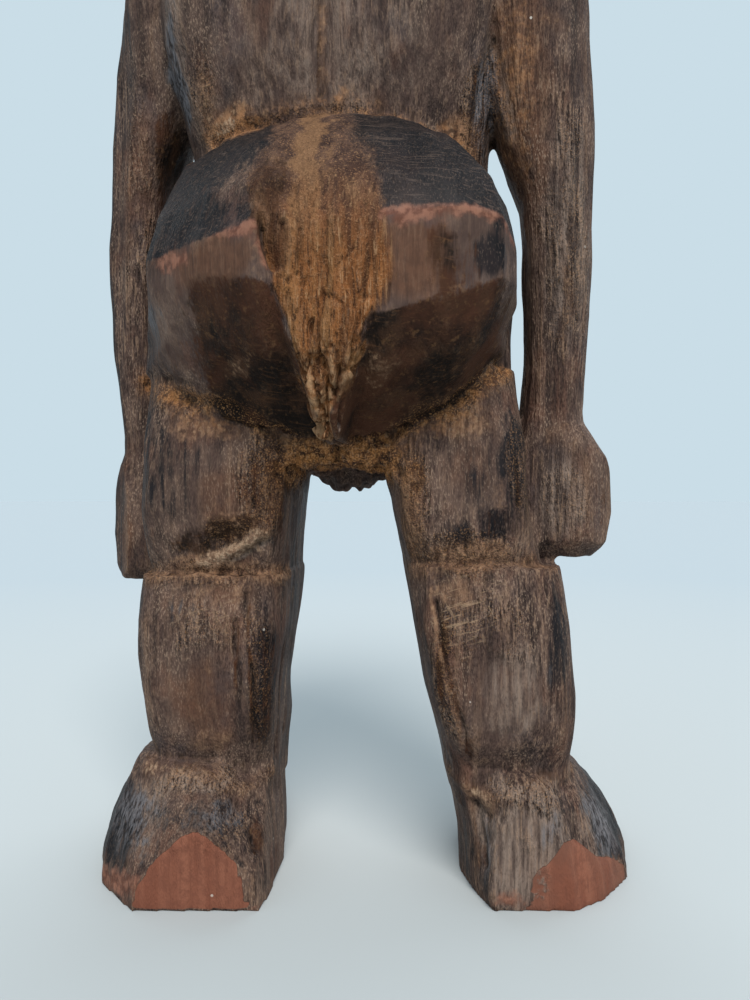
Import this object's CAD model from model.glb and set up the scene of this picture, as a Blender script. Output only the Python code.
import itertools
import math

import bmesh
import bpy
import numpy as np
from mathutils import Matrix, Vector


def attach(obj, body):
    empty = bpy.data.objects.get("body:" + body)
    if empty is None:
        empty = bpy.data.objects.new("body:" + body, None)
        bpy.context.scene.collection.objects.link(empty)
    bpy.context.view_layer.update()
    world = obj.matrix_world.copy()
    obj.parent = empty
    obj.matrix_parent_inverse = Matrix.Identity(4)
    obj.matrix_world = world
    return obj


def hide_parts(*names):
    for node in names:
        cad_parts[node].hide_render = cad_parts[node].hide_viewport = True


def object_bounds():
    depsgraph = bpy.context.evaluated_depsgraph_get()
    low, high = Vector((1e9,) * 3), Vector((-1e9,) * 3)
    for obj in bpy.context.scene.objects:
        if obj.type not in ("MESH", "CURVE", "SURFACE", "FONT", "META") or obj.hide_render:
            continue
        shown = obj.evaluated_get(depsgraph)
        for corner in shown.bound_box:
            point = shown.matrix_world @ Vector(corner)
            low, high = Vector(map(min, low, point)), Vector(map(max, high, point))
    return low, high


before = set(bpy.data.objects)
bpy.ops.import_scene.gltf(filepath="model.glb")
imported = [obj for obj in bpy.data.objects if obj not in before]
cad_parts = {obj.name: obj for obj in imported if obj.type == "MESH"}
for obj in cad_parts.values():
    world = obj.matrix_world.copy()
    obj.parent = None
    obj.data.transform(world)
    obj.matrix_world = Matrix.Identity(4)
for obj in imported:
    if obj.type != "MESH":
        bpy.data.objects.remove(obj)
cad_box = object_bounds()

MM = 0.001
VOXEL = 0.55  # spacing of the carved points, in mm
TRIANGLES = 198000  # in the finished mesh


def added(name, data):
    """A new object in the scene."""
    made = bpy.data.objects.new(name, data)
    bpy.context.scene.collection.objects.link(made)
    return made


# Camera

def place_camera():
    """A camera close behind the figure, level with its thighs."""
    yaw = math.radians(6)
    place = Vector((-21.5, 171.5, 82.8)) * MM
    focal_share = 0.751  # focal length over the height of the picture
    data = bpy.data.cameras.new("viewpoint")
    data.sensor_width = 36
    data.lens = data.sensor_width * focal_share
    data.clip_start = 0.005
    camera = added("viewpoint", data)
    camera.location = place
    camera.rotation_euler = (math.radians(90), 0, math.radians(180) + yaw)
    bpy.context.scene.camera = camera


# Colours

def tone(red, green, blue):
    """A colour given as 0 to 255 on a screen, as the linear colour that a shader takes."""
    def linear(value):
        share = value / 255
        return share / 12.92 if share <= 0.04045 else ((share + 0.055) / 1.055) ** 2.4
    return (linear(red), linear(green), linear(blue), 1)


# Shader maths

class Flow:
    """One output of a material's nodes, so that masks are written as sums and products."""

    def __init__(self, tree, output):
        self.tree = tree
        self.output = output

    def node(self, kind, settings=None, inputs=None, output=0):
        """Adds any node: its settings first, then the values or links of its sockets."""
        made = self.tree.nodes.new(kind)
        for name, value in (settings or {}).items():
            setattr(made, name, value)
        self.feed(made, inputs or {})
        return Flow(self.tree, made.outputs[output])

    def feed(self, node, inputs):
        """Links each Flow to its socket of a node, and sets the other sockets given."""
        for name, value in inputs.items():
            if isinstance(value, Flow):
                self.tree.links.new(value.output, node.inputs[name])
            else:
                node.inputs[name].default_value = value

    def maths(self, operation, *values, clamp=False):
        settings = {"operation": operation, "use_clamp": clamp}
        return self.node("ShaderNodeMath", settings, dict(enumerate(values)))

    def __add__(self, other):
        return self.maths("ADD", self, other)

    __radd__ = __add__

    def __sub__(self, other):
        return self.maths("SUBTRACT", self, other)

    def __rsub__(self, other):
        return self.maths("SUBTRACT", other, self)

    def __mul__(self, other):
        return self.maths("MULTIPLY", self, other)

    def clamped(self):
        return self.maths("ADD", self, 0, clamp=True)

    def step(self, low, high):
        """0 below low, 1 above high and a smooth climb between them."""
        settings = {"interpolation_type": "SMOOTHSTEP"}
        return self.node("ShaderNodeMapRange", settings,
                         {"Value": self, "From Min": low, "From Max": high})

    def between(self, low, high):
        """The colour low where this is 0, high where it is 1, and a mix in between."""
        return self.node("ShaderNodeMix", {"data_type": "RGBA"}, {0: self, 6: low, 7: high}, output=2)


def layered(colour, layers):
    """A colour with others laid over it in turn, each by a share."""
    for other, share in layers:
        colour = share.between(colour, other)
    return colour


def new_material(name):
    """A material, its shader and the places on the object."""
    material = bpy.data.materials.new(name)
    material.use_nodes = True
    tree = material.node_tree
    place = Flow(tree, tree.nodes.new("ShaderNodeTexCoord").outputs["Object"])
    return material, tree.nodes["Principled BSDF"], place


# Noise in the wood

def lumps(points, cell, seed):
    """Smooth noise from -1 to 1 with lumps about one cell across; a cell may be long one way."""
    side = 64
    table = np.random.default_rng(seed).uniform(-1, 1, side ** 3)
    place = points / np.asarray(cell, float)
    corner = np.floor(place).astype(np.int64)
    share = place - corner
    share = share * share * (3 - 2 * share)
    total = np.zeros(len(points))
    for step in itertools.product((0, 1), repeat=3):
        weight = np.prod(np.where(step, share, 1 - share), axis=1)
        index = (corner + step) % side
        total += weight * table[index @ (side * side, side, 1)]
    return total


def chips(points, cell, seed):
    """Scattered chips, each the ground nearest to one centre: the distance to that centre, how much
    further the next one is, in cells, and a number from 0 to 1 that belongs to the chip."""
    side = 32
    random = np.random.default_rng(seed)
    jitter = random.uniform(0.1, 0.9, (side ** 3, 3))
    own = random.uniform(0, 1, side ** 3)
    place = points / np.asarray(cell, float)
    corner = np.floor(place).astype(np.int64)
    first = np.full(len(points), 9.0)
    second = np.full(len(points), 9.0)
    number = np.zeros(len(points))
    for step in itertools.product((-1, 0, 1), repeat=3):
        index = ((corner + step) % side) @ (side * side, side, 1)
        distance = np.linalg.norm(place - corner - step - jitter[index], axis=1)
        nearer = distance < first
        second = np.where(nearer, first, np.minimum(second, distance))
        first = np.where(nearer, distance, first)
        number = np.where(nearer, own[index], number)
    return first, second - first, number


def ramp(values, low, high):
    """0 at low and 1 at high, with a smooth climb or fall between them."""
    share = np.clip((values - low) / (high - low), 0, 1)
    return share * share * (3 - 2 * share)


def line(points, route, width):
    """1 on a route of straight stretches, fading away over its width."""
    nearest = np.full(len(points), 1e9)
    for start, end in itertools.pairwise(np.asarray(route, float)):
        way = end - start
        share = np.clip((points - start) @ way / (way @ way), 0, 1)
        gap = np.linalg.norm(points - start - share[:, None] * way, axis=1)
        nearest = np.minimum(nearest, gap)
    return np.exp(-(nearest / width) ** 2)


def spot(points, middle, half, soft=0.5):
    """1 inside an ellipsoid, fading to 0 over the soft share of its half sizes."""
    distance = np.linalg.norm((points - middle) / half, axis=1)
    return ramp(distance, 1, 1 - soft)


def band(values, low, high, soft):
    """1 between low and high, fading to 0 over the soft distance on either side."""
    return ramp(values, low - soft, low) * ramp(values, high + soft, high)


def strayed(points):
    """The points moved a little to and fro, which makes the outline of a patch uneven."""
    cell = (5, 5, 9)
    reach = 1.7
    return points + reach * np.stack([lumps(points, cell, seed) for seed in (51, 52, 53)], axis=1)


def boxed(points, boxes):
    """The strongest of some named uneven boxes, each a strength, two corners and a soft border."""
    uneven = strayed(points)
    shares = []
    for share, low, high, soft in boxes.values():
        inside = [band(uneven[:, axis], low[axis], high[axis], soft) for axis in range(3)]
        shares.append(share * np.prod(inside, axis=0))
    return np.maximum.reduce(shares)


def painted(points, patches, soft=0.7):
    """The strongest of some named patches, each a strength, a middle and half sizes."""
    uneven = strayed(points)
    return np.maximum.reduce([share * spot(uneven, middle, half, soft)
                              for share, middle, half in patches.values()])


def drawn(points, strokes):
    """The strongest of some strokes, each a strength, a width and a route."""
    return np.maximum.reduce([share * line(points, route, width) for share, width, route in strokes])


def traced(points, strokes):
    """The sum of some strokes, each a height or depth, a width and a route."""
    return sum(height * line(points, route, width) for height, width, route in strokes)


# The carved surface

class Surface:
    """The points of a mesh in mm, with their normals and the mean of their neighbours."""

    def __init__(self, mesh):
        self.mesh = mesh
        count = len(mesh.vertices)
        flat = np.empty(count * 3, np.float32)
        mesh.vertices.foreach_get("co", flat)
        self.points = flat.reshape(-1, 3).astype(float) / MM
        mesh.vertex_normals.foreach_get("vector", flat)
        self.normals = flat.reshape(-1, 3).astype(float)
        edges = np.empty(len(mesh.edges) * 2, np.int32)
        mesh.edges.foreach_get("vertices", edges)
        self.ends = edges.reshape(-1, 2)
        self.degree = np.bincount(self.ends.ravel(), minlength=count)

    def mean(self, values, rounds=1):
        """Each value averaged with its neighbours', over and over."""
        values = np.asarray(values, float)
        flat = values.reshape(len(values), -1)
        one, two = self.ends.T
        for _ in range(rounds):
            sums = np.stack([
                np.bincount(one, channel[two], len(flat)) + np.bincount(two, channel[one], len(flat))
                for channel in flat.T], axis=1)
            flat = 0.5 * flat + 0.5 * sums / self.degree[:, None]
        return flat.reshape(values.shape)

    def hollow(self, rounds):
        """How far the smoothed surface lies outside this one, in mm: above 0 in a hollow."""
        return np.einsum("ij,ij->i", self.mean(self.points, rounds) - self.points, self.normals)

    def write(self):
        flat = (self.points * MM).astype(np.float32).ravel()
        self.mesh.vertices.foreach_set("co", flat)
        self.mesh.update()

    def keep(self, name, values):
        """Stores a value for each point, for the material to read."""
        layer = self.mesh.attributes.new(name, "FLOAT", "POINT")
        layer.data.foreach_set("value", np.asarray(values, np.float32))


def settle(piece):
    """Applies the piece's modifiers to its mesh."""
    settled = piece.evaluated_get(bpy.context.evaluated_depsgraph_get())
    mesh = bpy.data.meshes.new_from_object(settled)
    piece.modifiers.clear()
    piece.data = mesh


def billet():
    """A copy of the solid, cut into small even faces with its corners eased."""
    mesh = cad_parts["figure"].data.copy()
    mesh.materials.clear()
    piece = added("carved_figure", mesh)
    faces = bmesh.new()
    faces.from_mesh(mesh)
    bmesh.ops.remove_doubles(faces, verts=faces.verts, dist=1e-7)
    faces.to_mesh(mesh)
    faces.free()
    remesh = piece.modifiers.new("even faces", "REMESH")
    remesh.mode = "VOXEL"
    remesh.voxel_size = VOXEL * MM
    ease = piece.modifiers.new("eased corners", "SMOOTH")
    ease.factor = 0.5
    ease.iterations = 2
    settle(piece)
    return piece


def thinned(piece):
    """Takes out the faces that the form needs least."""
    count = sum(len(face.vertices) - 2 for face in piece.data.polygons)
    thin = piece.modifiers.new("fewer faces", "DECIMATE")
    thin.ratio = min(1, TRIANGLES / count)
    settle(piece)
    for face in piece.data.polygons:
        face.use_smooth = True


def inside_box(points):
    """The points brought inside the solid's own box."""
    low, high = (np.array(corner) / MM for corner in cad_box)
    return np.clip(points, low, high)


def keep_inside(piece):
    """Brings back the points that thinning has pushed out of the solid's box."""
    wood = Surface(piece.data)
    wood.points = inside_box(wood.points)
    wood.write()


# Places on the figure, in mm. Left and right are the figure's own.
WAIST = [(37.6, 7.6, 158.3), (22.7, 11.6, 164.5), (4.8, 13, 165.5), (-10.1, 12.8, 163.3),
         (-20.6, 8.4, 158.5)]
LEFT_FOLD = [(50.7, -1.3, 110.3), (38, 15.8, 104.9), (24.9, 19.1, 102), (11.1, 15.3, 95.6)]
RIGHT_FOLD = [(-32.2, 10.8, 110.7), (-22.7, 15.7, 103.9), (-14.5, 17, 99.5), (-5, 14, 95.6)]
LEFT_EDGE = [(47, 12, 131), (37.6, 25.1, 130.9), (26, 32, 131.6), (14.6, 39.2, 132.4)]
RIGHT_EDGE = [(-9, 36.9, 134.6), (-16.3, 36.1, 135), (-24.4, 34.3, 135.6), (-29.8, 33.1, 133.8),
              (-33, 27.5, 131.4)]
# Where the slope of the shelf starts.
SLOPE_FOOT = [*RIGHT_EDGE[:1], *RIGHT_EDGE[2:], *LEFT_EDGE[2:], *LEFT_EDGE[:1]]
NOTCH = [(13.6, 39, 135), (12.6, 38.7, 130.7), (10.4, 37.8, 126)]
LEFT_KNEE = [(46.5, 8, 66.9), (43.6, 15.7, 66.7), (17.6, 14.3, 66.9), (14, 8, 67)]
RIGHT_KNEE = [(-12.5, 8, 68.4), (-16.5, 14.6, 68.2), (-42, 12, 70)]
LEFT_LEDGE = [(31.6, 15.6, 69.4), (24.8, 16.4, 72.2), (18.4, 16, 75.6)]
LEFT_ANKLE = [(46, 4, 25.5), (43.9, 15.1, 24.8), (31.8, 17.8, 24), (23.6, 16.2, 20.6), (18.8, 9.5, 23.4)]
RIGHT_ANKLE = [(-20, 8, 25.4), (-24.8, 14.4, 23.4), (-28.6, 16, 21.2), (-39, 14.9, 24.6), (-47, 4, 25)]
RIGHT_BACK_CORNER = [(-16.6, 17.1, 64.4), (-18.7, 18.7, 52.4), (-21.9, 18.6, 38.2), (-24.8, 14.4, 20.4),
                     (-26.9, 14, 7)]
LEFT_BACK_CORNER = [(20.8, 17.4, 63), (20, 17, 45), (19.8, 13, 27), (20, 20, 11)]
SPINE = [(6.1, 15.8, 187), (6.2, 14.8, 171)]
# The split wood from the waist over the shelf down to the tip of the keel: height, left, right.
KEEL = [(94.5, 4.4, 0.8), (98, 5.4, 0), (102, 6.4, -1.6), (108, 8, -3.6), (112, 9.2, -5.6),
        (116, 9.8, -7.6), (119, 10.6, -10), (123, 11.2, -11), (128, 11.6, -10.4), (136, 14.5, -9),
        (144, 16.5, -7.5), (152, 14.5, -3.5), (160, 16, -1), (166, 17, 0)]
# The paler wood in the middle of it.
HEART = [(7, 13, 166), (6, 28, 152), (5.6, 37, 136), (4, 38, 120)]
SAWN = (-0.105, 0.9945, 0)  # the way the sawn left heel faces
# The top of the right heel's sawn part, as places across and heights.
RIGHT_SAWN = [(-58, 3.4), (-54.4, 6.6), (-51, 8.4), (-48.1, 11.2), (-45.6, 13.4), (-43.6, 13.6),
              (-41.8, 11.4), (-40, 9.6), (-38, 8.6), (-36.6, 4), (-34, 1)]
HEAD_X = 4.0
HEAD_Y = -1.3
EYE_OUT = 9.9  # from the middle of the face
EYE_HEIGHT = 268.4
LIP_HEIGHT = 249.9
HAIRLINE = 274.2  # its height at the middle of the head
HAIR_SLOPE = 0.447  # its fall for each mm towards the nape
HAIR_STRANDS = 46

# Flat cuts of the blade: a place on each, the way it faces, and the middle and half sizes of its reach.
FACETS = {
    "right hand, back": ((-44, 5, 84), (0, 1, 0), (-45, 6, 84), (13, 12, 22)),
    "right hand, outside": ((-50.4, 5, 84), (-0.66, 0.75, 0), (-54, 3, 84), (10, 12, 24)),
    "right arm, outside": ((-47.6, 5.2, 150), (-0.6, 0.8, 0), (-50, 4, 148), (8, 10, 62)),
    "left hand, outside": ((55.6, 0.6, 78), (0.78, 0.62, 0), (57, 0, 78), (8, 12, 22)),
    "left arm, outside": ((53.6, 2.4, 150), (0.66, 0.75, 0), (55, 2, 148), (8, 10, 62)),
}

# Splits in the keel: how deep, how wide and where.
SPLITS = {
    "long split": (1.5, 0.6, [(4.4, 37.4, 116), (5, 33.2, 99)]),
    "middle split": (1.7, 0.6, [(1.6, 36.4, 109), (0.9, 35.4, 104), (1.2, 32.3, 96)]),
    "right split": (1.4, 0.6, [(-1.2, 36.8, 112), (-1.9, 35.9, 107), (-0.7, 30.1, 98)]),
    "upper split": (0.8, 0.6, [(6.2, 37.6, 127), (6.3, 37.2, 112)]),
    "thin split": (0.7, 0.5, [(0.4, 38, 131), (0.2, 37.4, 119)]),
    "torn shoulder": (1.6, 0.8, [(11.4, 38.6, 138), (10.9, 38.2, 131), (9.6, 37.8, 127)]),
    "torn edge": (1.2, 0.6, [(9.2, 38, 134), (8.8, 37.8, 128)]),
}

# Long cracks down the legs, back and front: how deep, how wide and where.
CRACKS = {
    "left calf, back corner": (1.2, 0.6, [(21.6, 17.8, 63), (21, 17.6, 45), (20.6, 15, 29)]),
    "left calf, beside it": (0.9, 0.6, [(23.6, 18.6, 58), (23.8, 18.6, 38)]),
    "left calf, inside": (1, 0.8, [(16.6, 9, 63), (16.4, 9, 22)]),
    "left thigh, inside": (0.9, 0.8, [(17, 0, 92), (15.8, 1, 60), (16.4, 2, 30)]),
    "left thigh, back": (0.8, 0.6, [(20.6, 17.4, 93), (20, 17.2, 80)]),
    "left foot, inside": (1.2, 0.7, [(19.7, 18.6, 20), (19.4, 20.5, 10)]),
    "right calf, inside": (1.1, 0.7, [(-13.6, 8, 63), (-15, 8, 50), (-22, 8, 18)]),
    "right calf, back corner": (1.1, 0.5, [(-18.4, 18.4, 62), (-20, 18.8, 50), (-23.2, 18.4, 36),
                                           (-26, 15.4, 22)]),
    "right foot, back corner": (1, 0.8, [(-26.6, 15, 20), (-28, 15.4, 8)]),
    "right thigh, inside": (0.9, 0.8, [(-12, 2, 90), (-13, 2, 72)]),
    "right thigh, edge": (0.8, 0.6, [(-34, 15.6, 97), (-34.6, 15.6, 82)]),
    "spine": (0.6, 0.9, [(6.4, 16, 188), (7.2, 14, 169)]),
    "right of the back": (0.6, 0.6, [(-25, 8, 182), (-27, 6.4, 164)]),
    "belly": (0.8, 0.7, [(4.6, -27, 136), (4, -29, 108)]),
    "chest": (0.7, 0.7, [(-20, -20, 205), (-19, -21, 168)]),
}

# Folds and creases: how deep, how wide and where.
FOLDS = [
    (0.8, 1.3, WAIST), (1, 1.4, LEFT_FOLD), (1, 1.4, RIGHT_FOLD),
    (0.5, 0.9, LEFT_KNEE), (0.5, 0.9, RIGHT_KNEE),
    (0.7, 0.8, np.add(LEFT_FOLD[:3], (0, 1.6, 3.4))),
    (0.6, 1, np.add(LEFT_ANKLE[1:4], (0, 0, -3.6))),
    (0.6, 1, np.add(RIGHT_ANKLE[1:4], (0, 0, -3.2))),
]

# Rolls above the ankles: how high, how wide and where.
RIDGES = [(0.9, 2.6, LEFT_ANKLE), (0.8, 2.2, RIGHT_ANKLE)]

# Blue-black handled patina.
PATINA = {
    "small of the back, right": (1, (-28.5, 5, 168), (6, 9, 19)),
    "left flank": (1, (40, 6, 182), (5, 10, 30)),
    "left of the back": (0.45, (33, 12, 178), (6, 6, 14)),
    "left of the wedge": (0.6, (17, 33, 142), (7, 10, 10)),
    "shelf, right end": (1, (-27.6, 33.4, 127.4), (5.6, 9, 7.4)),
    "left thigh": (0.56, (36, 17, 88), (13, 9, 18)),
    "right thigh": (0.38, (-26, 17, 88), (9, 8, 13)),
    "left knee": (0.5, (36, 16, 58), (12, 8, 12)),
    "right shoulder": (0.55, (-47, 4, 189), (6, 8, 9)),
    "left thigh, outside": (0.6, (45, 12, 86), (5, 10, 22)),
    "right thigh, outside": (0.8, (-33.4, 14, 90), (7, 10, 24)),
    "right calf, outside": (0.7, (-42.5, 14, 54), (4.5, 9, 18)),
    "right calf, top": (0.5, (-24, 17, 61), (10, 6, 5)),
    "left calf, outside": (0.5, (46, 12, 52), (5, 9, 16)),
    "left calf's inner corner": (1.1, (18.4, 15, 46), (4, 5, 26)),
    "left foot, outside": (1.1, (50, 6, 12), (17, 34, 15)),
    "above the left heel": (0.66, (32, 21, 17), (18, 9, 6.4)),
    "right foot, outside": (1.05, (-55, -4, 12), (12, 32, 14)),
    "right foot, back": (0.35, (-41, 17, 15), (7, 6, 6)),
    "left hand": (0.4, (54, -4, 84), (6, 9, 12)),
    "right knuckles": (0.45, (-53, -4, 84), (5, 10, 12)),
    "belly": (0.62, (HEAD_X, -28, 146), (28, 14, 26)),
    "chest, left": (0.5, (22, -22, 198), (20, 12, 22)),
    "chest, right": (0.5, (-14, -22, 194), (20, 12, 22)),
    "left knee, front": (0.6, (31, -20, 68), (12, 10, 12)),
    "right knee, front": (0.6, (-30, -20, 68), (12, 10, 12)),
    "left shoulder": (0.6, (48, -2, 212), (12, 16, 14)),
    "right shoulder, front": (0.6, (-44, -6, 212), (12, 16, 14)),
    "left forearm, front": (0.55, (54, -14, 120), (8, 10, 26)),
    "right forearm, front": (0.55, (-50, -12, 124), (8, 10, 26)),
    "cheeks": (0.4, (HEAD_X, -24, 258), (22, 14, 12)),
}

# Reddish wood that handling has worn clean.
RUDDY = {
    "left calf": (0.75, (32, 18, 41), (9, 8, 15)),
    "right calf": (0.45, (-33, 18, 44), (9, 8, 15)),
    "shelf, left face": (1.2, (23, 34, 127.2), (17, 12, 8)),
    "shelf, right face": (1.2, (-14, 36.5, 127), (11, 8, 11)),
    "left arm": (0.5, (53, 2, 158), (7, 9, 24)),
    "right arm": (0.45, (-46, 5, 130), (7, 8, 34)),
    "right arm, inside": (0.9, (-37, 4, 174), (10, 12, 46)),
    "left hand": (0.7, (56, 1, 74), (5, 12, 12)),
    "right hand": (0.6, (-47, 5, 84), (10, 8, 17)),
    "left thigh": (0.65, (27, 18, 84), (10, 7, 10)),
    "right thigh": (0.5, (-25, 18, 90), (9, 7, 9)),
    "left calf, top": (0.5, (34, 18, 60), (11, 8, 6)),
    "upper back": (0.4, (0, 15, 215), (26, 14, 14)),
    "nose": (0.6, (HEAD_X, -37, 262), (5, 5, 12)),
    "left foot's toes": (0.5, (38, -40, 8), (16, 12, 7)),
    "right foot's toes": (0.5, (-42, -38, 8), (16, 12, 7)),
}

# Plain smooth wood, where hardly any fibres or pores show.
SMOOTH = {
    "shelf, left face": (1.2, (25, 34, 127), (19, 14, 13)),
    "shelf, right face": (1.2, (-18, 35.5, 127), (20, 14, 16)),
    "left chamfer": (0.8, (38, 20, 120), (11, 16, 13)),
    "small of the back": (0.55, (4, 14, 176), (30, 10, 22)),
    "left thigh": (0.5, (34, 18, 86), (12, 8, 13)),
    "right thigh": (0.5, (-25, 18, 88), (9, 8, 10)),
    "right calf": (0.5, (-32, 18, 42), (10, 8, 12)),
    "right foot": (0.6, (-36, 18, 10), (10, 8, 12)),
    "belly": (0.6, (HEAD_X, -28, 146), (26, 14, 24)),
    "chest": (0.6, (HEAD_X, -24, 196), (32, 14, 20)),
    "left calf": (0.5, (33, 19, 40), (10, 6, 12)),
    "face": (0.9, (HEAD_X, -24, 262), (22, 17, 25)),
    "neck": (0.5, (HEAD_X, -4, 234), (20, 20, 12)),
}

# Wood bleached and dusted paler than the rest.
PALE = {
    "back": (0.5, (4, 14, 180), (36, 12, 26)),
    "left flank": (1.2, (40, 8, 182), (5, 12, 30)),
    "right foot, middle": (1.4, (-36, 17.5, 11), (13, 9, 17)),
    "right foot, inner back": (0.9, (-28, 15, 15), (6, 6, 10)),
    "right foot, outside": (1, (-52, 6, 12), (10, 16, 13)),
    "right shin, inside": (0.9, (-20, 2, 28), (8, 16, 30)),
    "left foot, outside": (0.8, (44, 17, 14), (15, 14, 13)),
    "above the left heel": (0.65, (30, 21, 17), (12, 8, 5)),
    "left ankle": (1.2, (33, 17.5, 23.6), (13, 7, 4)),
    "small of the back, right": (1.3, (-30, 4, 170), (6, 9, 20)),
    "right calf": (0.75, (-34, 18, 44), (10, 8, 16)),
    "left calf, top": (0.4, (31, 18, 60), (13, 8, 6)),
    "right ankle": (1.1, (-37, 15, 24), (12, 8, 4)),
    "left knee ledge": (1.5, (22.6, 16.4, 73.2), (8, 6, 3.4)),
    "left knee ledge, low": (1, (27.5, 16, 70.6), (6, 5, 2)),
    "right hand": (1.05, (-45, 6, 84), (8, 6, 16)),
    "right arm": (0.95, (-46, 6, 136), (8, 6, 44)),
    "left chamfer": (0.5, (40, 18, 120), (9, 14, 12)),
    "waist": (0.35, (-12, 13, 166), (12, 6, 4)),
    "toes, left": (0.4, (38, -36, 12), (16, 12, 7)),
    "toes, right": (0.4, (-42, -34, 12), (16, 12, 7)),
}

# Ochre dust.
DUST = {
    "over the waist, left": (1.1, (27, 10, 165), (15, 9, 6.5)),
    "over the waist, right": (1, (-24, 8, 160.5), (9, 9, 9)),
    "over the waist": (0.5, (6, 13, 167.4), (24, 8, 4.4)),
    "left of the back": (0.7, (33, 11, 172), (4.6, 7, 10)),
    "beside the spine": (0.9, (2.2, 14, 170), (2.4, 4, 3.4)),
    "right of the back": (0.6, (-26, 8, 160), (6, 7, 8)),
    "right arm, inside": (0.6, (-34.5, 4, 172), (8, 12, 44)),
    "right arm, top": (0.5, (-43, 6, 186), (7, 5, 5)),
    "right arm": (0.45, (-46, 6, 122), (3, 5, 30)),
    "left arm": (0.4, (50, 3, 160), (4, 6, 20)),
    "left thigh, inside": (0.5, (17, 15, 86), (7, 9, 18)),
    "left thigh, top": (0.75, (32, 18.5, 98), (18, 8, 5)),
    "left thigh, low": (0.5, (25, 17.6, 78), (12, 7, 6)),
    "right thigh, inside": (0.85, (-12.5, 14, 82), (5, 9, 18)),
    "right thigh, top": (0.8, (-22, 17, 99), (12, 8, 6)),
    "above the right knee": (0.9, (-24, 17, 71.5), (16, 8, 5)),
    "right thigh, edge": (0.45, (-37, 13, 78), (4, 7, 10)),
    "above the left knee": (0.95, (29, 16, 69), (15, 8, 4.4)),
    "below the left knee": (0.55, (27, 18, 63.5), (14, 6, 4.6)),
    "below the right knee": (0.7, (-22, 17.6, 64), (9, 6, 6)),
    "left calf, foot": (0.6, (30, 17, 31), (8, 5, 7)),
    "left calf, streak": (0.6, (29.4, 19, 46), (1.4, 3, 5)),
    "left ankle": (0.6, (33, 17, 25), (12, 6, 3)),
    "right ankle": (0.5, (-40, 14, 25.6), (9, 7, 2.6)),
    "right ankle, inside": (0.6, (-28, 16, 21), (4, 5, 5)),
    "right wrist": (0.5, (-44.5, 5, 98), (7, 6, 5)),
    "crotch": (1, (2.2, 13, 94), (24, 12, 6)),
    "neck": (0.6, (HEAD_X, 6, 228), (20, 14, 6)),
    "under the chin": (0.5, (HEAD_X, -18, 236), (14, 10, 6)),
    "left armpit": (0.6, (41, 0, 196), (5, 12, 10)),
    "groin": (0.7, (HEAD_X, -20, 98), (26, 10, 6)),
}

# Blotches of it under the shelf.
BLOTCHES = {
    "left": (0.9, (20, 28, 109.6), (6.5, 12, 3.4)),
    "left fold": (0.6, (34, 18, 107), (9, 8, 2.4)),
    "right": (0.8, (-6.4, 31, 107), (4.4, 10, 6)),
    "right face": (0.45, (-10, 34, 116), (4, 10, 4)),
}

# Dust in the folds: how strong, how wide and where.
FOLD_DUST = [
    (0.8, 3, WAIST), (1, 4, LEFT_FOLD), (1, 4, RIGHT_FOLD), (1, 3, LEFT_KNEE), (1, 3.4, RIGHT_KNEE),
    (1, 2, LEFT_LEDGE), (0.7, 2.4, LEFT_ANKLE), (0.7, 2.4, RIGHT_ANKLE),
]

# Thin lines of dust down the spine and the calves.
DUST_LINES = [(0.8, 1.6, SPINE), (0.75, 0.8, RIGHT_BACK_CORNER), (0.45, 0.8, LEFT_BACK_CORNER)]

# Lines along which the dust is more orange.
WARM_LINES = [(0.8, 4, LEFT_FOLD), (0.9, 4, RIGHT_FOLD), (0.6, 5, WAIST)]

# Rubbed edges, pink where the wood shows bare: how strong, how wide and where.
RUBBED = {
    "shelf, left edge": (1, 1.5, LEFT_EDGE),
    "left edge, inner end": (1, 2, [(19.5, 37.6, 131.6), (15, 39.2, 132)]),
    "left edge, notch": (0.8, 1.3, [(14.8, 39.2, 132), (11.9, 38.5, 125)]),
    "left edge, outer end": (1, 2.4, [(36.5, 25.6, 129.8), (30, 30, 130)]),
    "shelf, right edge": (1, 1.5, RIGHT_EDGE),
    "right edge, middle": (1, 1.5, [(-11, 36.7, 133.6), (-17, 36, 133.8), (-25, 34.1, 134.8)]),
    "left foot, sole": (0.7, 2.4, [(56, -10, 1.5), (54.5, 12, 1.5)]),
    "left foot, corner": (1, 3, [(54.5, 14, 1.5), (51, 18.6, 2.4), (46.6, 22.8, 3.6), (42, 25.6, 5)]),
    "right foot, sole": (1, 2.2, [(-38, 19, 1), (-31.5, 19, 2.6)]),
    "right foot, outside": (0.55, 2.5, [(-59, 4, 3), (-57, 8, 8)]),
    "right hand": (0.6, 1.6, [(-53.5, 4.8, 92), (-55.6, 2, 84), (-55, 3, 76)]),
    "left hand": (0.5, 1.6, [(58, 0, 86), (58, 2, 72), (55, 4, 66)]),
}

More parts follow.
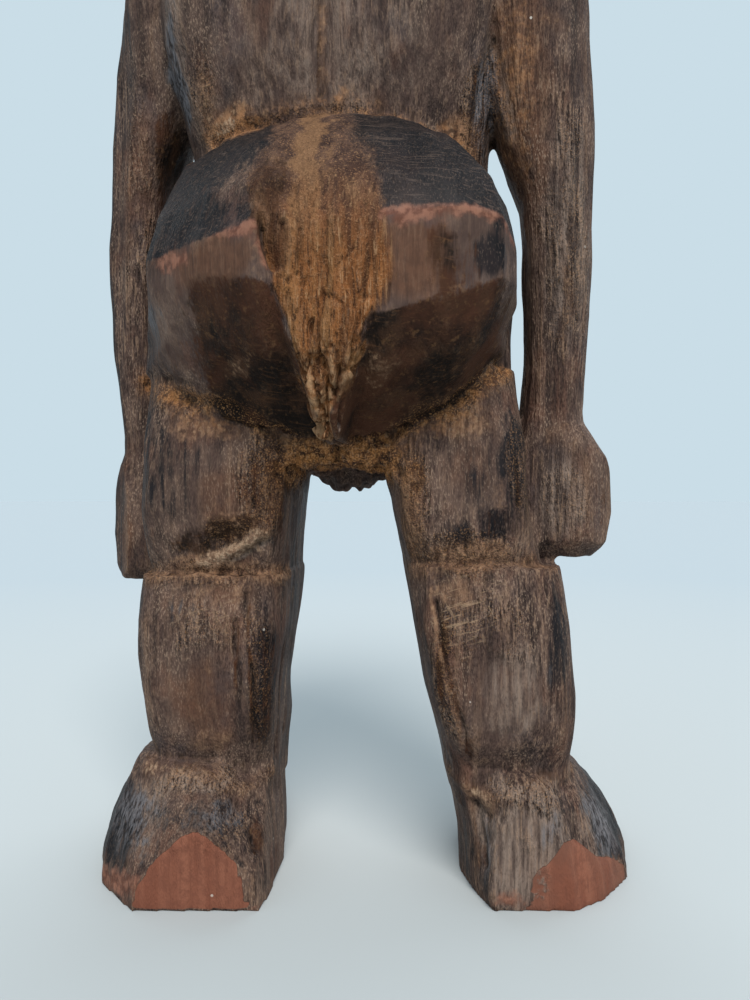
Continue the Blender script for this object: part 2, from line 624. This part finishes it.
# Black-brown places: burnt, deep or thick with old grease.
BLACK = {
    "left knee hollow": (1.1, (25, 16.8, 77.2), (8, 6, 4)),
    "left knee hollow, outside": (0.75, (32, 16, 74), (10, 6, 5)),
    "under the knee ledge": (1, (29, 15.6, 68.6), (6, 5, 1.6)),
    "right hand, outside": (0.45, (-54, 3, 84), (3.4, 6, 14)),
    "left of the crotch": (0.9, (16.5, 16, 89.6), (5, 6, 4)),
    "left of the wedge": (0.75, (12.6, 34, 141), (6, 12, 13)),
    "notch": (1, (10.6, 38.2, 131), (4, 7, 9)),
    "left calf, corner": (0.7, (18.4, 14.6, 44), (3, 4, 26)),
    "left foot, inside": (0.7, (20, 20, 14), (2.4, 6, 9)),
    "left thigh, back": (0.6, (20.6, 17, 85), (4.4, 5, 13)),
    "left thigh, inside": (0.62, (17, 13, 83), (9, 12, 18)),
    "right thigh, low": (0.45, (-13, 14, 80), (5, 9, 16)),
    "under the keel's tip": (0.8, (9, 16, 92), (6, 6, 3.4)),
    "right thigh, inside": (0.95, (-12.8, 17, 86.6), (3.6, 6, 7)),
    "right knee, inside": (0.6, (-11.6, 13, 73), (2, 5, 4)),
    "right calf, back corner": (0.75, (-19.4, 18, 50), (2.2, 5, 16)),
    "right calf, low": (0.7, (-24, 17, 32), (1.6, 4, 7)),
    "under the left arm": (1, (45.4, 0, 160), (5, 14, 22)),
    "keel's right side": (1, (-2.4, 30, 101.5), (4.2, 9, 8)),
    "keel's left side": (1, (9, 29, 101), (2.8, 8, 6)),
    "left of the waist": (0.5, (39, 7, 163), (4, 7, 8)),
}

# Coarse fibrous wood, black in its pores and ochre on its fibres.
COARSE = {
    "left thigh, inside": (1, (18.5, 15, 86), (8, 9, 18)),
    "left thigh, low": (0.7, (25, 17, 76), (11, 8, 6)),
    "right thigh, inside": (1, (-13, 14, 82), (5.4, 9, 19)),
    "right thigh, outer edge": (1, (-35, 13, 90), (4.6, 9, 17)),
    "above the right knee": (0.9, (-24, 17, 72.5), (17, 8, 7)),
    "left knee": (0.8, (28, 16, 68), (16, 8, 5)),
    "left calf, corner": (0.8, (19.6, 15.4, 46), (4.4, 6, 24)),
    "left calf": (0.45, (30, 18, 56), (14, 8, 9)),
    "right calf, corner": (0.9, (-19.5, 17, 46), (5, 7, 20)),
    "right calf": (0.5, (-28, 18, 56), (14, 8, 12)),
    "left ankle": (0.8, (32, 17, 23), (14, 7, 6)),
    "right ankle": (0.7, (-36, 15, 23), (13, 8, 6)),
    "right foot": (0.25, (-35, 17, 10), (11, 8, 12)),
    "left foot": (0.35, (30, 20, 16), (20, 12, 8)),
    "right of the back": (1, (-27, 5, 168), (8, 9, 20)),
    "waist, left": (0.8, (30, 10, 163), (12, 9, 7)),
    "left of the back": (0.5, (34, 11, 176), (7, 7, 16)),
    "right arm": (0.55, (-46, 5, 140), (8, 8, 50)),
    "left arm": (0.4, (51, 3, 150), (8, 8, 50)),
    "right hand": (0.5, (-46, 5, 84), (9, 7, 16)),
}

# Upright black patches, rough as if burnt, on the back of the right thigh.
BURNT = {
    "inner": (0.75, (-24, 9, 73.6), (-21.6, 30, 77.6), 2.6),
    "outer": (0.95, (-30.8, 9, 75.8), (-27.8, 30, 80.6), 2.6),
}

# Dark patches on the right face of the shelf.
FACE_DARK = {
    "middle": (0.75, (-21.2, 20, 119.5), (-17.8, 50, 132), 1.2),
    "beside it": (0.45, (-25, 16, 119), (-17.8, 50, 131.6), 1.2),
}

# Crests bleached nearly white with wear and dust: how strong, how wide and where.
BLEACHED = {
    "left knee ledge": (1, 1.9, [(31.6, 15.6, 69.4), (27, 16.2, 71.2), (23, 16.4, 73.4), (19, 16, 75.2)]),
    "left knee ledge, below": (0.7, 1.5, [(26, 16, 70.6), (20, 16, 72.4)]),
    "waist, left": (0.9, 1.6, [(36, 8.6, 160.6), (33, 9.6, 163), (27, 10.6, 165.6)]),
    "waist, right": (0.5, 0.9, [(-17, 9.4, 161.4), (-22, 7.8, 158.6)]),
    "left calf, inside": (0.7, 0.9, [(16.2, 3, 60), (16.8, 3, 40), (17.6, 4, 14)]),
    "left ankle": (0.7, 1.7, LEFT_ANKLE[1:4]),
    "right ankle": (0.7, 1.5, RIGHT_ANKLE[1:4]),
    "keel's tip, left": (0.7, 0.9, [(4.2, 31.6, 97), (5, 35, 105)]),
}

# Fine scratches across the grain.
SCRATCHED = {
    "right calf": (1, (-24, 17, 60), (12, 9, 11)),
    "left calf": (0.5, (31, 18, 60), (14, 9, 6)),
}


def height_along(x, route):
    """How high a route that runs across the figure lies at each x."""
    across, _, heights = zip(*sorted(route))
    return np.interp(x, across, heights)


def zones(p, n):
    """Shares of the surface, 0 to 1, that both the carving and the staining go by."""
    x, y, z = p.T
    ragged = 1.4 * lumps(p, (3, 3, 7), 41) + 1.2 * lumps(p, (7, 7, 9), 42)

    heights, lefts, rights = zip(*KEEL)
    left_blur = np.interp(z, (128, 140, 152, 160), (1.4, 4, 5, 3))
    right_blur = np.interp(z, (112, 120, 133, 140, 150), (1, 3.4, 3, 3.2, 5))
    from_left = ramp((np.interp(z, heights, lefts) - x + ragged) / left_blur, -0.8, 1)
    from_right = ramp((x - np.interp(z, heights, rights) + ragged) / right_blur, -1, 1.4)
    starts = np.interp(z, (95, 131, 150, 166), (20, 24, 15, 8))
    full = np.interp(z, (95, 131, 166), (24, 30, 12))
    keel = from_left * from_right * ramp(y, starts, full) * band(z, 94, 164.5, 2.5)

    above_edge = z - height_along(x, SLOPE_FOOT)
    below_waist = height_along(x, WAIST) - z
    top = ramp(above_edge, -0.4, 0.9) * ramp(below_waist, -0.6, 1) * ramp(y, 5, 10)
    below = ramp(n[:, 2], -0.1, -0.42) * ramp(y, 6, 12) * band(z, 96, 131, 3)
    below *= 1 - 0.7 * ramp(x + 1.6 * ragged, 26, 33)
    below *= 1 - 0.5 * ramp(x + 1.6 * ragged, -27, -33)

    left_sawn = ramp(n @ SAWN, 0.9, 0.97) * ramp(y, 14, 17) * ramp(z, 24, 20) * ramp(x, -5, 5)
    tops = np.interp(x, *zip(*RIGHT_SAWN))
    right_sawn = ramp(tops - z, -0.5, 0.5) * ramp(n[:, 1], 0.05, 0.3) * band(x, -58, -36, 0.8)
    right_sawn *= 1 - 0.5 * ramp(x + lumps(p, (2, 2, 3), 43), -43.4, -40)
    sawn = np.maximum(left_sawn, right_sawn * ramp(y, -2, 2))

    hairline = HAIRLINE - HAIR_SLOPE * (y - HEAD_Y)
    hair = ramp(z, hairline - 0.5, hairline + 1) * ramp(z, 248, 252)
    face = spot(p, (HEAD_X, -24, 262), (21, 17, 25), 0.3)
    return {
        "keel": keel,
        "below": below * (1 - keel),
        "top": top * (1 - keel),
        "crotch": spot(p, (2.2, 8, 91), (27, 19, 10), 0.6) * (1 - keel),
        "sawn": sawn,
        "hair": hair,
        "adzed": (1 - sawn) * (1 - keel) * (1 - 0.75 * face) * (1 - 0.8 * hair),
    }


# Carving

def tool_marks(p, zone):
    """Adze cuts and ripples, the ribs of the grain, and nicks where blades and knocks caught it."""
    cut, _, _ = chips(p, (9, 9, 19), 3)
    nick, _, _ = chips(p, (13, 13, 26), 29)
    ribbed = 1 - 0.95 * np.minimum(painted(p, SMOOTH, 0.4), 1)
    rise = 0.55 * (cut ** 2 - 0.3) + 0.35 * lumps(p, (15, 15, 30), 5)
    rise += 0.24 * lumps(p, (4.6, 4.6, 8), 6) * ribbed
    rise -= 0.4 * ramp(nick, 0.1, 0.03) * (1 - zone["below"]) * (1 - zone["top"])
    return rise * zone["adzed"] + 0.22 * lumps(p, (1.8, 1.8, 22), 7) * ribbed


def keel_fibres(p, zone):
    """The raw keel: long fibres with gaps between them, splits, and stepped broken ends at the tip."""
    z = p[:, 2]
    raw = zone["keel"] * ramp(z, 150, 116)
    tip = zone["keel"] * ramp(z, 112, 100)
    _, seam, step = chips(p, (2.2, 4, 9), 17)
    gap = ramp(np.abs(lumps(p, (2.2, 2.2, 26), 12)), 0, 0.25)
    rise = zone["keel"] * (0.26 * lumps(p, (1.6, 1.6, 14), 11) + 0.35 * lumps(p, (4.5, 4.5, 18), 19) - 0.2)
    rise += raw * (0.5 * lumps(p, (1.7, 1.7, 11), 18) + 0.9 * gap - 0.8)
    rise += raw * (0.5 * lumps(p, (4.5, 4.5, 36), 20) - 0.5 * ramp(seam, 0.14, 0.02))
    rise += tip * (2.8 * step - 1.8 - 1.2 * ramp(seam, 0.16, 0.03))
    return rise - traced(strayed(p), [*SPLITS.values(), (3, 1, NOTCH)])


def rough_wood(p, zone):
    """Crumbly wood at the crotch and under the lump in front of it, coarse and burnt places."""
    crumbly = np.maximum(zone["crotch"], spot(p, (3.4, -15, 90), (13, 10, 9), 0.4))
    rise = crumbly * (1.1 * lumps(p, (1.7, 1.7, 2), 13) + 0.9 * lumps(p, (3.4, 3.4, 4.4), 14))
    rise += painted(p, COARSE) * (0.3 * lumps(p, (1.5, 1.5, 4), 33) + 0.25 * lumps(p, (3, 3, 6), 34))
    return rise - 0.5 * ramp(boxed(p, BURNT), 0.1, 0.9) * ramp(lumps(p, (1.9, 1.9, 5), 27), -0.5, 0.3)


def left_knee(p):
    """The hollow cut above the left knee, and the rough ledge that it ends at."""
    above_ledge = p[:, 2] - height_along(p[:, 0], LEFT_LEDGE)
    rise = -1.5 * spot(p, (26, 17, 74.4), (8.4, 9, 4.6), 0.9) * ramp(above_ledge, 0, 1.6)
    rise += 1.1 * line(strayed(p), LEFT_LEDGE, 1.7)
    return rise + 0.5 * spot(p, (22, 16, 72.6), (8, 6, 4), 0.8) * lumps(p, (1.4, 1.4, 1.8), 35)


def combed_hair(p, zone):
    """Strands that run down from the crown."""
    x, y, _ = p.T
    angle = np.arctan2(y - HEAD_Y, x - HEAD_X)
    off_crown = ramp(np.hypot(x - HEAD_X, y - HEAD_Y), 5, 11)
    wave = np.cos(HAIR_STRANDS * angle + 1.2 * lumps(p, (9, 9, 9), 31))
    return 0.5 * zone["hair"] * off_crown * wave


def calm_face(p):
    """Lowered lids, brows, nostrils and closed lips."""
    lips = [(HEAD_X - 7, -26, LIP_HEIGHT), (HEAD_X, -28.4, LIP_HEIGHT), (HEAD_X + 7, -26, LIP_HEIGHT)]
    rise = -0.9 * line(p, lips, 0.7)
    for side in (1, -1):
        eye = (HEAD_X + side * EYE_OUT, 0, EYE_HEIGHT)
        slit = np.array([(-5, -24.4, 0.3), (0, -26, 0), (5, -24.4, 0.3)])
        lid = np.array([(-6.4, -23, 0.2), (-3, -25, 3.8), (3, -25, 3.8), (6.4, -23, 0.2)])
        brow = np.array([(-side * 7, -26.4, 6.2), (0, -24.8, 9.8), (side * 7.4, -20.6, 7)])
        nostril = [(HEAD_X + side * 2.4, -35, 256.6), (HEAD_X + side * 2.4, -30, 257)]
        rise += traced(p, [
            (-1.6, 0.7, slit + eye), (-1.2, 0.7, lid + eye), (-0.5, 0.6, lid * (1, 1, -1) + eye),
            (1.3, 1.8, brow + eye), (-1.3, 1.1, nostril),
        ])
    return rise


def wandering(points):
    """The points moved with their height, which lets a crack wander a little from side to side."""
    height = points * (0, 0, 1)
    reach = 1.1
    return points + reach * np.stack([lumps(height, 9, 23), lumps(height, 11, 24), 0 * height[:, 0]], axis=1)


def trimmed(points):
    """The points with the blade's flat cuts taken off the hands and arms."""
    for place, facing, middle, half in FACETS.values():
        facing = np.array(facing) / np.linalg.norm(facing)
        proud = np.maximum((points - place) @ facing, 0) * spot(points, middle, half)
        points = points - 0.9 * proud[:, None] * facing
    return points


def carve(piece):
    """Cuts tool marks, grain, splinters, folds and cracks into the surface; the soles stay flat."""
    wood = Surface(piece.data)
    p = wood.points
    zone = zones(p, wood.normals)
    rise = tool_marks(p, zone) + keel_fibres(p, zone) + rough_wood(p, zone) + left_knee(p)
    rise += traced(p, RIDGES) - traced(p, FOLDS) - traced(wandering(p), CRACKS.values())
    rise += combed_hair(p, zone) + calm_face(p)
    rise *= ramp(p[:, 2], 0.3, 2.5)
    wood.points = inside_box(trimmed(p + wood.normals * rise[:, None]))
    wood.write()


# Staining

def shine_share(p, broad, zone):
    """Where handling and old grease have left a dark gloss."""
    x, _, z = p.T
    left_outside = ramp(broad[:, 0], 0.35, 0.8) * ramp(x, 30, 40) * band(z, 60, 200, 6)
    left_inside = ramp(broad[:, 0], -0.4, -0.8) * band(x, 12, 26, 4) * band(z, 24, 86, 5)
    right_inside = ramp(broad[:, 0], 0.4, 0.8) * band(x, -30, -8, 4) * band(z, 4, 60, 5)
    insteps = ramp(broad[:, 2], 0.15, 0.4) * band(z, 6, 18, 4)
    shine = np.maximum.reduce([
        zone["top"] * np.where(x < 0, 1, 0.95), painted(p, PATINA), 0.7 * zone["hair"],
        0.6 * left_outside, 0.5 * left_inside, 0.5 * right_inside, 0.45 * insteps,
    ])
    shine *= 1 - 0.55 * spot(strayed(p), (19, 31, 143), (10, 14, 9), 0.9)
    return np.maximum(shine, boxed(p, BURNT)) * (1 - 0.85 * zone["sawn"]) * (1 - zone["below"])


def dust_share(p, wide, folds, zone):
    """Where ochre dust lies: in folds and hollows, and in blotches under the shelf."""
    dust = np.maximum.reduce([
        0.85 * folds, drawn(p, DUST_LINES), painted(p, DUST), 0.9 * zone["crotch"],
        0.8 * ramp(wide, 0.5, 2.2),
    ])
    dust *= (1 - 0.9 * zone["sawn"]) * (1 - 0.8 * zone["keel"]) * (1 - 0.8 * zone["below"])
    return np.maximum(dust, 0.7 * painted(p, BLOTCHES) * zone["below"])


def dark_share(p, zone):
    """Where the wood is black-brown: under the shelf, in splits and cracks, burnt or greasy."""
    splits = drawn(p, [(0.6, 0.6, route) for _, _, route in SPLITS.values()])
    cracks = drawn(p, [(0.8, 0.8, route) for _, _, route in CRACKS.values()])
    return np.maximum.reduce([
        zone["below"], painted(p, BLACK), 0.4 * boxed(p, BURNT), boxed(p, FACE_DARK),
        0.95 * line(p, NOTCH, 2.2), splits, cracks,
    ])


def stain(piece):
    """Stores on the points where dust, patina and wear lie, for the material to read."""
    wood = Surface(piece.data)
    p = wood.points
    broad = wood.mean(wood.normals, 12)
    broad /= np.linalg.norm(broad, axis=1, keepdims=True)
    zone = zones(p, broad)
    fine = wood.hollow(3)
    wide = wood.hollow(40)
    folds = drawn(p, FOLD_DUST)
    worn = np.maximum(drawn(p, RUBBED.values()), 0.4 * ramp(-wide, 0.8, 2) * (1 - zone["keel"]))
    inner_arm = 0.4 * spot(p, (-35, 4, 170), (9, 14, 40), 0.6)
    layers = {
        "shine": shine_share(p, broad, zone),
        "dust": dust_share(p, wide, folds, zone),
        "worn": worn * (1 - zone["sawn"]),
        "dark": dark_share(p, zone),
        "bleached": drawn(p, BLEACHED.values()),
        "warm": np.maximum.reduce([zone["crotch"], drawn(p, WARM_LINES), inner_arm]),
        "ruddy": painted(p, RUDDY),
        "smooth": painted(p, SMOOTH, 0.4),
        "pale": painted(p, PALE),
        "keel": zone["keel"],
        "slope": zone["top"],
        "sawn": zone["sawn"],
        "coarse": np.maximum.reduce([zone["crotch"], 0.7 * folds, painted(p, COARSE)]),
        "heart": 1.1 * line(strayed(p), HEART, 3.6),
        "pit": ramp(fine, 0.02, 0.22),
        "crest": ramp(-fine, 0.03, 0.2),
        "scratched": painted(p, SCRATCHED, 0.5),
    }
    for name, values in layers.items():
        wood.keep(name, values)


# Wood

def wood_material():
    """Dense brown wood: streaks and pores along the grain, dust, wear and a blue-black patina."""
    material, shader, place = new_material("handled_wood")
    height = place.node("ShaderNodeSeparateXYZ", None, {"Vector": place}, output=2)

    def noise(stretch, scale, detail, turn=(0, 0, 0), roughness=0.55, order="POINT"):
        spread = place.node("ShaderNodeMapping", {"vector_type": order},
                            {"Vector": place, "Scale": stretch, "Rotation": turn})
        return place.node("ShaderNodeTexNoise", None,
                          {"Vector": spread, "Scale": scale, "Detail": detail, "Roughness": roughness})

    def scratches(slope, scale):
        """Long thin lines across the back, which climb by the slope."""
        return noise((16, 1, 1), scale, 2, turn=(0, -math.atan(slope), 0), order="TEXTURE")

    def mark(name):
        return place.node("ShaderNodeAttribute", {"attribute_name": name}, output=2)

    def broken(name, texture, reach, low, high):
        """A mark with its border broken up by a texture."""
        return (mark(name) + (texture - 0.5) * reach).step(low, high)

    # Along the grain, from wide streaks to short fine dashes.
    streak = noise((1, 1, 0.045), 330, 4)
    grain = noise((1, 1, 0.07), 900, 3)
    fibre = noise((1, 1, 0.1), 1700, 3)
    dash = noise((1, 1, 0.36), 3400, 2)

    # Clouds and patches, from broad to small, then crumbs of wood and dust.
    cloud = noise((1, 1, 0.5), 42, 5)
    haze = noise((1, 1, 0.7), 75, 5, turn=(0.4, 0.9, 0))
    swirl = noise((1, 1, 0.6), 110, 4, turn=(1.1, 0.2, 0))
    mottle = noise((1, 1, 0.5), 190, 5, roughness=0.62)
    crumb = noise((1, 1, 1), 520, 4)
    grit = noise((1, 1, 0.8), 1250, 3)
    fine_crumb = noise((1, 1, 1), 2600, 2)

    level_scratch = scratches(0.12, 2000)
    slant_scratch = scratches(-0.3, 1500)
    steep_scratch = scratches(2.4, 1100)

    shine = broken("shine", grain * 0.4 + mottle * 0.35 + cloud * 0.25, 3.4, 0.3, 0.86)
    glaze = broken("dust", haze, 1.2, 0.1, 1)
    dust = broken("dust", grit * 0.35 + fibre * 0.25 + crumb * 0.4, 2.6, 0.34, 1.05)
    dark = broken("dark", crumb * 0.3 + fibre * 0.4 + grain * 0.3, 2.2, 0.3, 0.8)
    ruddy = broken("ruddy", mottle, 1.4, 0.2, 0.9)
    pale = broken("pale", mottle * 0.7 + grain * 0.3, 1.6, 0.2, 1)
    worn = broken("worn", crumb * 0.6 + mottle * 0.4, 1.6, 0.34, 0.95)
    keel = broken("keel", fibre * 0.4 + mottle * 0.6, 1.3, 0.2, 0.75)
    sawn = broken("sawn", crumb, 0.5, 0.4, 0.5)
    coarse = broken("coarse", mottle, 1.6, 0.15, 0.8)
    bleached = broken("bleached", crumb * 0.5 + fibre * 0.5, 2.4, 0.3, 0.9)
    heart = broken("heart", streak, 2.6, 0.3, 0.9)
    warm = mark("warm")
    pit = mark("pit")
    crest = mark("crest")
    ribbed = 1 - mark("smooth").clamped() * 0.92
    open_grain = (cloud.step(0.42, 0.6) * ribbed * 0.7 + coarse).clamped()
    cluster = mottle.step(0.42, 0.58)

    ruddy_wood = crumb.step(0.38, 0.62).between(tone(84, 57, 43), tone(94, 64, 48))
    pale_wood = grain.step(0.36, 0.64).between(tone(108, 91, 82), tone(136, 118, 106))
    bare_wood = layered(mottle.step(0.38, 0.62).between(tone(73, 56, 50), tone(97, 77, 67)), [
        (tone(104, 68, 52), swirl.step(0.5, 0.66) * 0.4),
        (tone(74, 66, 67), haze.step(0.5, 0.68) * 0.5),
        (ruddy_wood, ruddy * 0.85),
        (pale_wood, pale * 0.8),
        (tone(44, 35, 33), streak.step(0.47, 0.36) * ribbed * 0.6),
        (tone(128, 100, 80), streak.step(0.55, 0.66) * ribbed * 0.35),
        (tone(44, 34, 31), grain.step(0.47, 0.35) * (open_grain * 0.5 + 0.15)),
        (tone(26, 19, 17), fibre.step(0.48, 0.38) * (open_grain * 0.75 + 0.12)),
        (tone(142, 114, 93), fibre.step(0.54, 0.64) * (open_grain * 0.55 + 0.1)),
        (tone(36, 27, 24), dash.step(0.47, 0.38) * ribbed * (0.55 - cluster * 0.35)),
        (tone(146, 122, 104), dash.step(0.54, 0.64) * ribbed * (cluster * 0.5 + 0.1)),
    ])
    greyed = pale * (mottle * 0.3 + fibre * 0.7).step(0.4, 0.6)
    patina = layered(mottle.step(0.4, 0.64).between(tone(5, 8, 14), tone(19, 18, 22)), [
        (tone(36, 26, 26), haze.step(0.5, 0.64) * 0.5),
        (tone(84, 69, 61), level_scratch.step(0.55, 0.68) * mark("slope") * 0.55),
        (tone(92, 76, 66), dash.step(0.56, 0.68) * 0.45),
        (tone(106, 103, 106), greyed * 0.85),
    ])
    burnt = layered(haze.step(0.4, 0.6).between(tone(19, 12, 8), tone(66, 38, 24)), [
        (tone(66, 42, 27), mottle.step(0.48, 0.64) * 0.6),
        (tone(88, 58, 36), level_scratch.step(0.56, 0.7) * 0.4),
        (tone(110, 78, 50), (grit * 0.5 + crumb * 0.5).step(0.54, 0.66) * 0.4),
    ])
    dull_dust = grain.step(0.36, 0.6).between(tone(90, 66, 52), tone(146, 112, 88))
    orange_dust = crumb.step(0.4, 0.58).between(tone(104, 62, 32), tone(182, 122, 70))
    ochre = layered(warm.between(dull_dust, orange_dust), [
        (tone(162, 130, 102), grit.step(0.54, 0.66) * 0.6),
        (tone(28, 18, 13), crumb.step(0.45, 0.36) * 0.8),
    ])

    # The split wood of the keel: greyed above with a paler heart, orange-brown and fibrous below.
    upper_keel = layered(mottle.step(0.4, 0.6).between(tone(56, 41, 37), tone(84, 62, 52)), [
        (tone(98, 74, 60), streak.step(0.5, 0.62) * 0.5),
        (tone(128, 94, 66), heart * 0.75),
    ])
    lower_keel = layered(grain.step(0.36, 0.58).between(tone(84, 50, 27), tone(128, 80, 44)), [
        (tone(140, 98, 60), streak.step(0.48, 0.62) * 0.6),
    ])
    splinters = crest * height.step(0.114, 0.104) * grain.step(0.44, 0.56)
    raw_keel = layered(height.step(0.150, 0.122).between(upper_keel, lower_keel), [
        (tone(38, 24, 16), fibre.step(0.45, 0.35) * (height.step(0.150, 0.120) * 0.5 + 0.15)),
        (tone(44, 28, 20), dash.step(0.45, 0.36) * 0.4),
        (tone(158, 116, 82), fine_crumb.step(0.56, 0.66) * 0.45),
        (tone(168, 130, 94), fibre.step(0.57, 0.68) * (0.25 + crest * 0.5)),
        (tone(176, 140, 104), splinters * 0.7),
    ])
    fresh = layered(streak.step(0.4, 0.64).between(tone(116, 70, 54), tone(130, 82, 64)), [
        (tone(98, 58, 45), grain.step(0.44, 0.34) * 0.4),
        (tone(108, 66, 52), crumb.step(0.46, 0.6) * 0.5),
        (tone(100, 72, 60), cloud.step(0.5, 0.66) * 0.5),
    ])
    dusty_crest = grit.step(0.4, 0.6).between(tone(114, 88, 70), tone(164, 138, 114))
    rubbed = crumb.step(0.4, 0.62).between(tone(98, 60, 47), tone(138, 94, 76))

    # All that lies on the bare wood or has been done to it, from the lowest layer up.
    crumbly = coarse * (0.35 + warm * 0.65)
    hatch = (slant_scratch.step(0.57, 0.66) + steep_scratch.step(0.6, 0.68) * 0.7).clamped()
    cell = place.node("ShaderNodeTexVoronoi", None, {"Vector": place, "Scale": 95})
    specks = (cell + grit * 0.02).step(0.045, 0.03) * swirl.step(0.46, 0.54)
    colour = layered(bare_wood, [
        (patina, shine * 0.93),
        (burnt, dark * 0.94),
        (tone(98, 67, 47), glaze * 0.5),
        (ochre, dust * 0.7),
        (tone(28, 18, 12), fine_crumb.step(0.5, 0.4) * crumbly * 0.55),
        (tone(190, 138, 90), fine_crumb.step(0.55, 0.64) * crumbly * 0.65),
        (dusty_crest, bleached * 0.7),
        (raw_keel, keel * (1 - dark * 0.7) * 0.95),
        (rubbed, worn * 0.85),
        (fresh, sawn),
        (tone(146, 120, 96), hatch * mark("scratched") * mottle.step(0.36, 0.54) * 0.7),
        (tone(20, 14, 11), pit * (1 - sawn) * (1 - keel * 0.4) * (0.4 + grit.step(0.4, 0.6) * 0.5)),
        (tone(140, 108, 84), crest * (1 - shine) * (1 - sawn) * grit.step(0.42, 0.62) * 0.3),
        (tone(196, 184, 172), specks * 0.9),
    ])

    relief = fibre * (1 - sawn * 0.7) * (0.4 + ribbed * 0.6) + dash * ribbed * 0.45
    relief = relief + (streak * 0.8 + grain * 0.5) * ribbed
    relief = relief + (grit * 1.2 + crumb + fine_crumb * 0.7) * (coarse + keel * 0.5)
    place.feed(shader, {
        "Base Color": colour,
        "Roughness": (0.66 - shine * 0.16 + dust * 0.2 + keel * 0.12 + fibre * 0.1).clamped(),
        "Specular IOR Level": 0.1,
        "Coat Weight": (shine * 0.05 * (1 - dust)).clamped(),
        "Coat Roughness": 0.45,
        "Normal": place.node("ShaderNodeBump", None, {"Height": relief, "Strength": 0.8, "Distance": 0.0007}),
    })
    return material


def figure():
    """The whole carving: one billet, cut, thinned and stained."""
    piece = billet()
    carve(piece)
    thinned(piece)
    keep_inside(piece)
    stain(piece)
    piece.data.materials.append(wood_material())
    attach(piece, "root")
    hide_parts("figure")


# Floor and light

def pale_floor():
    """A wide matt floor, a little brighter and warmer near the figure."""
    half_width = 40
    faces = bmesh.new()
    bmesh.ops.create_grid(faces, x_segments=1, y_segments=1, size=half_width)
    mesh = bpy.data.meshes.new("floor")
    faces.to_mesh(mesh)
    faces.free()
    near, far = (0.415, 0.437, 0.442, 1), (0.366, 0.411, 0.442, 1)
    reach = 0.7
    material, shader, place = new_material("pale_floor")
    spread = place.node("ShaderNodeMapping", None, {"Vector": place, "Scale": [1 / reach] * 3})
    share = place.node("ShaderNodeTexGradient", {"gradient_type": "SPHERICAL"}, {"Vector": spread}, output=1)
    place.feed(shader, {"Base Color": share.between(far, near), "Roughness": 0.8, "Specular IOR Level": 0})
    mesh.materials.append(material)
    floor = added("floor", mesh)


def daylight():
    """Soft light from the sky, from above and behind, and dimmer from the front."""
    world = bpy.data.worlds.new("daylight")
    world.use_nodes = True
    background = world.node_tree.nodes["Background"]
    background.inputs["Color"].default_value = tone(202, 221, 231)
    background.inputs["Strength"].default_value = 1
    bpy.context.scene.world = world
    for name, energy, spread, colour, climb, turn in (
        ("window", 3.1, 28, (1, 0.97, 0.93), 50, 14),
        ("far_wall", 1.5, 90, (0.95, 0.98, 1), 38, 172),
    ):
        data = bpy.data.lights.new(name, "SUN")
        data.angle = math.radians(spread)
        data.energy = energy
        data.color = colour
        added(name, data).rotation_euler = (math.radians(climb - 90), 0, math.radians(turn))
    bpy.context.scene.view_settings.view_transform = "Standard"


place_camera()
figure()
pale_floor()
daylight()
